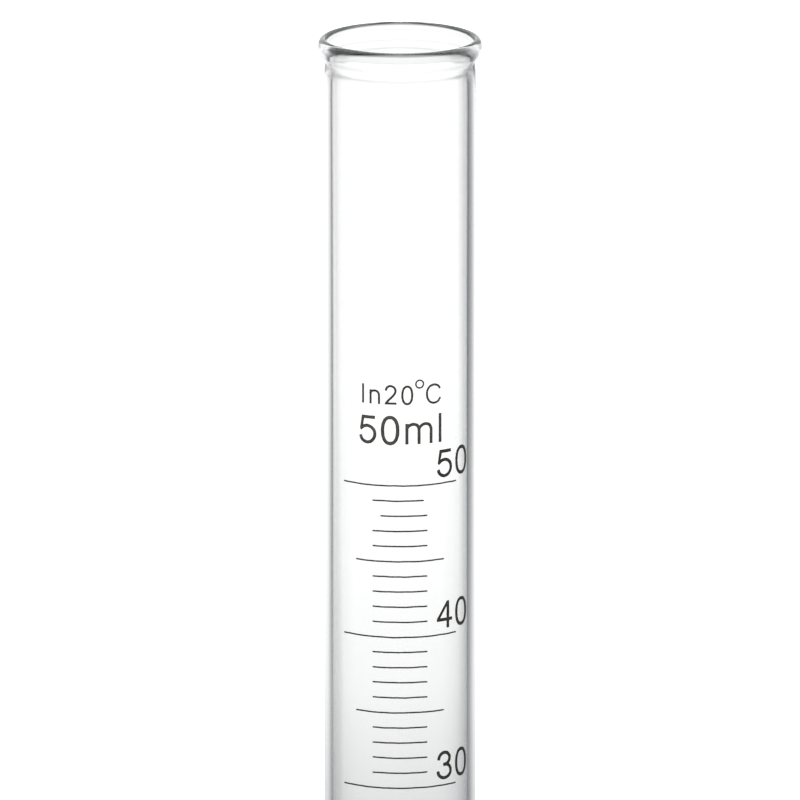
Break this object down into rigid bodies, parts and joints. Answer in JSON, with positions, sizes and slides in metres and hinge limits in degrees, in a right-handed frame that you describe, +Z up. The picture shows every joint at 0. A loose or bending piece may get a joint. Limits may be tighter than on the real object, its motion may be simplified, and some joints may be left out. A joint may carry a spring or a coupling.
{
  "type": "graduated test tube",
  "caption": "Round-bottomed glass test tube with a flared fire-polished lip and a fired enamel millilitre scale with numerals and capacity legends.",
  "frame": {"origin": "on the tube's axis at the lowest point of the round bottom", "axes": "+Z up along the tube's axis towards the open lip; the scale faces -Y and its numerals are on the +X side"},
  "size_m": [0.027, 0.027, 0.2065],
  "materials": {
    "glass": "clear fire-polished borosilicate",
    "enamel": "satin fired enamel, dark warm grey"
  },
  "bodies": {
    "root": {"glass_tube": "glass", "marks_10ml": "enamel", "marks_5ml": "enamel", "marks_1ml": "enamel", "numeral_10": "enamel", "numeral_20": "enamel", "numeral_30": "enamel", "numeral_40": "enamel", "numeral_50": "enamel", "capacity_legend": "enamel", "temperature_legend": "enamel"}
  },
  "joints": []
}
